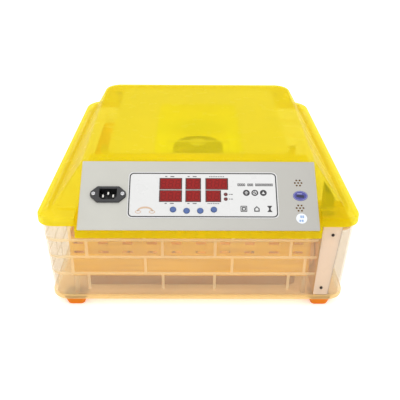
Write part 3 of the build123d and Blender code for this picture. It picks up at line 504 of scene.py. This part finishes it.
def add_ring(mesh, outer, inner, bottom, top):
    """A closed flat ring on the panel between two outlines of equal length."""
    rows = []
    for outline, w in ((outer, bottom), (outer, top), (inner, top), (inner, bottom)):
        rows.append([mesh.verts.new(panel_point(u, v, w)) for u, v in outline])
    count = len(outer)
    for row in range(4):
        here, there = rows[row], rows[(row + 1) % 4]
        for index in range(count):
            after = (index + 1) % count
            mesh.faces.new((here[index], here[after], there[after], there[index]))


def print_pieces(name, plates, rings, material, base=LABEL_TOP, thick=PRINT_THICK):
    """One printed piece on the panel, made of several plates and rings."""
    mesh = bmesh.new()
    for outline in plates:
        low, high = ([panel_point(u, v, w) for u, v in outline] for w in (base, base + thick))
        add_prism(mesh, low, high)
    for outer, inner in rings:
        add_ring(mesh, outer, inner, base, base + thick)
    finish_piece(name, mesh, material, "lid")


# ---- the label's border ------------------------------------------------------
LABEL_WIDE = 204.0
LABEL_TALL = 67.5
MARGIN_BASE = 0.02
MARGIN_GAP = 0.03


def label_ring(out, radius, inside, inner_radius):
    """A ring along the label's edge: how far it reaches out and in, with the radii of its corners."""
    u, v = panel_place("panel_label")
    outer = rounded(u, v, LABEL_WIDE + out, LABEL_TALL + out, radius, 6)
    inner = rounded(u, v, LABEL_WIDE - inside, LABEL_TALL - inside, inner_radius, 6)
    return outer, inner


def label_border():
    """The dark line round the label and the white margin outside it."""
    print_pieces("label_border", [], [label_ring(0.8, 6.2, 2.4, 4.8)], "print_dark")
    margin = label_ring(3.4, 7, 0.2, 4.6)
    print_pieces("label_margin", [], [margin], "label_white", MARGIN_BASE, LABEL_TOP - MARGIN_GAP)


# ---- the label's symbols -----------------------------------------------------
ROUND_ROW = 3.5
ROUND_SYMBOLS = (66.0, 77.7, 89.5)
ROUND_RADIUS = 4.7
THIN_BAR = 0.9
SQUARE_ROW = -21.0
SQUARE_SYMBOLS = (61.8, 79.6, 97.3)


def round_symbols():
    """Three dark discs, each with a plain white shape."""
    v = ROUND_ROW
    first, second, third = ROUND_SYMBOLS
    discs = [circle(u, v, ROUND_RADIUS) for u in ROUND_SYMBOLS]
    print_pieces("round_symbols", discs, [], "print_dark")
    marks = [bar(first, v, 4.6, THIN_BAR)]
    marks += [bar(first, v + side * 1.7, 2.6, THIN_BAR) for side in (1, -1)]
    marks.append(turned_outline(bar(second, v, 5.0, THIN_BAR), second, v, 45))
    marks.append([(third - 2.2, v - 1.6), (third + 2.2, v - 1.6), (third, v + 2.3)])
    ring = (circle(second, v, 2.9), circle(second, v, 2.1))
    print_pieces("round_symbol_marks", marks, [ring], "print_white", LABEL_TOP + PRINT_THICK, THIN_PRINT)


def house_outline(u, v, half, tall):
    """A plain house: a box with a pointed roof."""
    eaves = v + tall * 0.15
    return [(u - half, v - tall), (u + half, v - tall), (u + half, eaves), (u, v + tall), (u - half, eaves)]


def hourglass(u, v):
    """The plates of an hourglass: two caps and two funnels that meet in a narrow waist."""
    plates = [bar(u, v + side * 4.0, 6.4, 1.4) for side in (-1, 1)]
    for side in (-1, 1):
        wide = v + side * 3.4
        plates.append([(u - 2.5, wide), (u + 2.5, wide), (u + 0.8, v), (u - 0.8, v)])
    return plates


def square_symbols():
    """Three small dark outlines: nested squares, a house and an hourglass."""
    v = SQUARE_ROW
    first, second, third = SQUARE_SYMBOLS
    rings = [
        (rounded(first, v, 9.0, 9.0, 0.8), rounded(first, v, 7.0, 7.0, 0.5)),
        (rounded(first, v, 5.4, 5.4, 0.5), rounded(first, v, 2.8, 2.8, 0.3)),
        (house_outline(second, v, 3.7, 4.2), house_outline(second, v - 0.2, 2.2, 2.5)),
    ]
    print_pieces("square_symbols", hourglass(third, v), rings, "print_dark")


TITLE_PLACE = (78.6, 16.0)
TITLE_WORDS = (4, 3, 9)
TITLE_PITCH = 2.75


def title_row():
    """A row of small empty boxes, in three groups."""
    u, v = TITLE_PLACE
    places = sum(TITLE_WORDS) + len(TITLE_WORDS) - 1
    across = u - (places - 1) / 2 * TITLE_PITCH
    boxes = []
    for word in TITLE_WORDS:
        for _ in range(word):
            boxes.append((rounded(across, v, 2.4, 4.0, 0.5), rounded(across, v, 0.9, 2.3, 0.3)))
            across += TITLE_PITCH
        across += TITLE_PITCH
    print_pieces("title_boxes", [], boxes, "print_dark")


EMBLEM_PLACE = (-73.0, -24.0)
EMBLEM_HALF = 9.5


def emblem():
    """A plain arch over two small ovals."""
    u, v = EMBLEM_PLACE
    rings = []
    for middle in (u - EMBLEM_HALF, u + EMBLEM_HALF):
        rings.append((oval(middle, v - 2, 8.4, 5), oval(middle, v - 2, 6.6, 3.2)))
    print_pieces("emblem_ovals", [], rings, "print_peach")
    outside = [(u + (a - u) * 11, v - 1 + (b - v) * 7) for a, b in arc(u, v, 1, 0, 180, 24)]
    inside = [(u + (a - u) * 9, v - 1 + (b - v) * 4.4) for a, b in arc(u, v, 1, 180, 0, 24)]
    print_pieces("emblem_arch", [outside + inside], [], "print_peach")


# ---- stickers and sound holes ------------------------------------------------
STICKER_LEAN = -8
ROSETTES = ((138.9, 19.4), (138.9, -19.4))
# The discs behind the sound holes are painted shade.
HOLE_SHADE_RADIUS = 6.0
HOLE_SHADE_BASE = -1.35
HOLE_SHADE_THICK = 0.3


def sticker_marks():
    """Generic marks on the two stickers, and a painted glint near the oval one's top."""
    u, v = panel_place("oval_sticker")
    low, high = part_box("oval_sticker")
    width = width_of("oval_sticker")
    tall = (high[2] - low[2]) / MM / math.sin(TILT)
    rim = (oval(u, v, width - 1.4, tall - 1.6), oval(u, v, width - 2.8, tall - 3.0))
    # The short lighter bar near the top of the oval sticker is a painted glint, a highlight.
    painted_glint = bar(u - 1, v + 3.2, 7.0, 1.6)
    print_pieces("oval_sticker_rim_and_glint", [painted_glint], [rim], "print_lilac", STICKER_TOP, THIN_PRINT)
    block = turned_outline(bar(u, v - 0.6, 11.0, 4.2), u, v, STICKER_LEAN)
    print_pieces("oval_sticker_bar", [block], [], "print_indigo", STICKER_TOP, RIM_THICK)
    u, v = panel_place("round_sticker")
    blocks = [bar(u - 0.6, v + 2.6, 2.2, 4.0), bar(u + 2.2, v + 2.6, 2.2, 4.0)]
    blocks += [bar(u - 2.2, v - 3.4, 2.4, 3.2), bar(u + 1.0, v - 3.4, 2.8, 3.2)]
    print_pieces("round_sticker_blocks", blocks, [], "print_sky", STICKER_TOP, THIN_PRINT)


def shade_behind_holes():
    """Dark discs behind the sound holes: painted shade for the dim inside seen through them."""
    for index, (u, v) in enumerate(ROSETTES):
        shade_disc = circle(u, v, HOLE_SHADE_RADIUS)
        print_pieces("hole_shade_" + str(index + 1), [shade_disc], [], "hole_shade", HOLE_SHADE_BASE, HOLE_SHADE_THICK)


# ---- the drive cover's seam --------------------------------------------------
SEAM_WIDTH = 0.9 * MM
SEAM_DEPTH = 1.4 * MM
STRIP_LEAN = 9.6 * MM


def strip_seam():
    """The dark line where the drive cover's strip meets the base, on its right edge."""
    low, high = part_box("motor_cover")
    ends = []
    for x, y, z in ((high[0] - STRIP_LEAN, high[1] - SEAM_DEPTH, low[2]), (high[0], low[1], high[2])):
        sides = ((0, 0), (SEAM_WIDTH, 0), (SEAM_WIDTH, SEAM_DEPTH), (0, SEAM_DEPTH))
        ends.append([(x + right, y + inwards, z) for right, inwards in sides])
    mesh = bmesh.new()
    add_prism(mesh, *ends)
    finish_piece("strip_seam", mesh, "seam_grey", "base")


label_border()
round_symbols()
square_symbols()
title_row()
emblem()
sticker_marks()
strip_seam()
shade_behind_holes()


# ---- number displays ---------------------------------------------------------
DIGITS = {
    "temperature": 3,
    "temperature_limit": 3,
    "humidity": 2,
    "humidity_limit": 2,
    "days": 3,
    "turns": 2,
}
DISPLAY_TALL = 17.8
DIGIT_PITCH = 9.9
DIGIT_TALL = 10.8
DIGIT_WIDE = 5.6
STROKE = 1.15
SLANT = 0.14
CAPTION_GAP = 11.4
LAMP_ROWS = (1.1, -6.2)
LAMP_MARK = 43.6


def display_captions():
    """Plain marks over the upper displays, under the lower ones and beside the lamps."""
    marks = []
    for name in ("temperature", "humidity"):
        for row, side in (("_display", 1), ("_limit_display", -1)):
            u, v = panel_place(name + row)
            marks.append(bar(u - 6.5, v + side * CAPTION_GAP, 3.0, 1.3))
            marks.append(bar(u + 2.0, v + side * CAPTION_GAP, 5.5, 1.3))
    for name, side, count in (("days", 1, 9), ("turns", -1, 7)):
        u, v = panel_place(name + "_display")
        for index in range(count):
            marks.append(bar(u + (index - (count - 1) / 2) * 2.4, v + side * CAPTION_GAP, 1.6, 1.3))
    for row in LAMP_ROWS:
        marks.append(bar(LAMP_MARK - 1.2, row, 1.6, 1.1))
        marks.append(bar(LAMP_MARK + 2.0, row, 3.2, 1.1))
    print_pieces("display_captions", marks, [], "print_grey")


def display_frames():
    """A dark rim round each display."""
    rims = []
    for name in DIGITS:
        u, v = panel_place(name + "_display")
        width = width_of(name + "_display")
        outer = rounded(u, v, width, DISPLAY_TALL, 0.4, 1)
        rims.append((outer, rounded(u, v, width - 2.8, DISPLAY_TALL - 2.4, 0.2, 1)))
    print_pieces("display_rims", [], rims, "display_frame", DISPLAY_TOP, RIM_THICK)


def segment(u, v, length, upright):
    """One bar of a number, pointed at both ends."""
    half, thick = length / 2 - 0.25, STROKE / 2
    shape = [(-half, 0), (-half + thick, -thick), (half - thick, -thick)]
    shape += [(-a, -b) for a, b in shape]
    if upright:
        shape = [(-b, a) for a, b in shape]
    return [(u + a + SLANT * b, v + b) for a, b in shape]


def digit_segments(u, v):
    """The seven bars of a number display's one place."""
    half_tall = DIGIT_TALL / 2
    half_wide = DIGIT_WIDE / 2
    bars = []
    for row in (-1, 0, 1):
        bars.append(segment(u + SLANT * row * half_tall, v + row * half_tall, DIGIT_WIDE, False))
    for side in (-1, 1):
        for row in (-1, 1):
            across = u + side * half_wide + SLANT * row * half_tall / 2
            bars.append(segment(across, v + row * half_tall / 2, half_tall, True))
    return bars


def number_displays():
    """The digits of all six displays, each with its point."""
    for name, count in DIGITS.items():
        u, v = panel_place(name + "_display")
        bars = []
        for index in range(count):
            place = u + (index - (count - 1) / 2) * DIGIT_PITCH
            bars += digit_segments(place, v)
            bars.append(circle(place + DIGIT_WIDE * 0.75, v - DIGIT_TALL / 2, 0.6, 12))
        print_pieces(name + "_digits", bars, [], "segment_red", DISPLAY_TOP, DIGIT_THICK)


display_captions()
display_frames()
number_displays()


# ---- stage -------------------------------------------------------------------
FLOOR_REACH = 30.0


def make_stage():
    """A plain pale floor that runs back out of sight."""
    mesh = bmesh.new()
    corners = [(-1, -1), (1, -1), (1, 1), (-1, 1)]
    mesh.faces.new([mesh.verts.new((x * FLOOR_REACH, y * FLOOR_REACH, 0)) for x, y in corners])
    built = bpy.data.meshes.new("floor")
    mesh.to_mesh(built)
    mesh.free()
    solid_material(
        "floor_white", (250, 250, 250), 0.6, 0.004, 300, 0.02, Emission_Color=WHITE, Emission_Strength=0.35
    )
    built.materials.append(MATERIALS["floor_white"])
    floor = bpy.data.objects.new("floor", built)
    bpy.context.collection.objects.link(floor)


# ---- light -------------------------------------------------------------------
STUDIO_LIGHTS = (
    ("key", (-0.3, -1.4, 1.9), 1.6, 14),
    ("top", (0.2, 0.5, 2.3), 2.2, 16),
    ("fill", (1.7, -0.9, 1.2), 1.6, 4),
)
STUDIO_AIM = (0, 0, 0.1)
INNER_LIGHTS = (
    ("well_glow", (0, -0.01, 0.1935), (0.12, 0.17), 0.036),
    ("chamber_glow", (-0.01, 0.0, 0.116), (0.3, 0.36), 0.22),
)
WORLD_STRENGTH = 0.78


def add_lamp(name, place, power, size, aim):
    """A soft square or oblong lamp that the camera doesn't see."""
    lamp = bpy.data.lights.new(name, "AREA")
    lamp.shape = "RECTANGLE"
    lamp.size, lamp.size_y = size
    lamp.energy = power
    light = bpy.data.objects.new(name, lamp)
    light.location = place
    light.rotation_euler = (Vector(aim) - Vector(place)).to_track_quat("-Z", "Y").to_euler()
    light.visible_camera = False
    bpy.context.collection.objects.link(light)


def make_lights():
    """A white studio, and a faint light inside for what the thin plastic lets through."""
    world = bpy.data.worlds.new("studio")
    world.use_nodes = True
    world.node_tree.nodes["Background"].inputs["Color"].default_value = WHITE
    world.node_tree.nodes["Background"].inputs["Strength"].default_value = WORLD_STRENGTH
    bpy.context.scene.world = world
    for name, place, size, power in STUDIO_LIGHTS:
        add_lamp(name, place, power, (size, size), STUDIO_AIM)
    for name, place, size, power in INNER_LIGHTS:
        add_lamp(name, place, power, size, (place[0], place[1], 0))


# ---- camera ------------------------------------------------------------------
CAMERA_PLACE = (-0.0071, -0.9754, 0.5917)
CAMERA_DIP = 28.76
CAMERA_TURN = 0.66
CAMERA_ROLL = 0.51
CAMERA_LENS = 58.3
CAMERA_SENSOR = 36


def make_camera():
    """The camera: a little above, square to the front."""
    data = bpy.data.cameras.new("camera")
    data.lens = CAMERA_LENS
    data.sensor_width = CAMERA_SENSOR
    camera = bpy.data.objects.new("camera", data)
    turn = Matrix.Rotation(math.radians(-CAMERA_TURN), 4, "Z")
    dip = Matrix.Rotation(math.radians(90 - CAMERA_DIP), 4, "X")
    roll = Matrix.Rotation(math.radians(CAMERA_ROLL), 4, "Z")
    camera.matrix_world = Matrix.Translation(CAMERA_PLACE) @ turn @ dip @ roll
    bpy.context.collection.objects.link(camera)
    bpy.context.scene.camera = camera


make_stage()
make_lights()
make_camera()
scene = bpy.context.scene
scene.view_settings.view_transform = "Standard"
scene.cycles.transparent_max_bounces = 48
scene.cycles.max_bounces = 16
scene.cycles.diffuse_bounces = 10
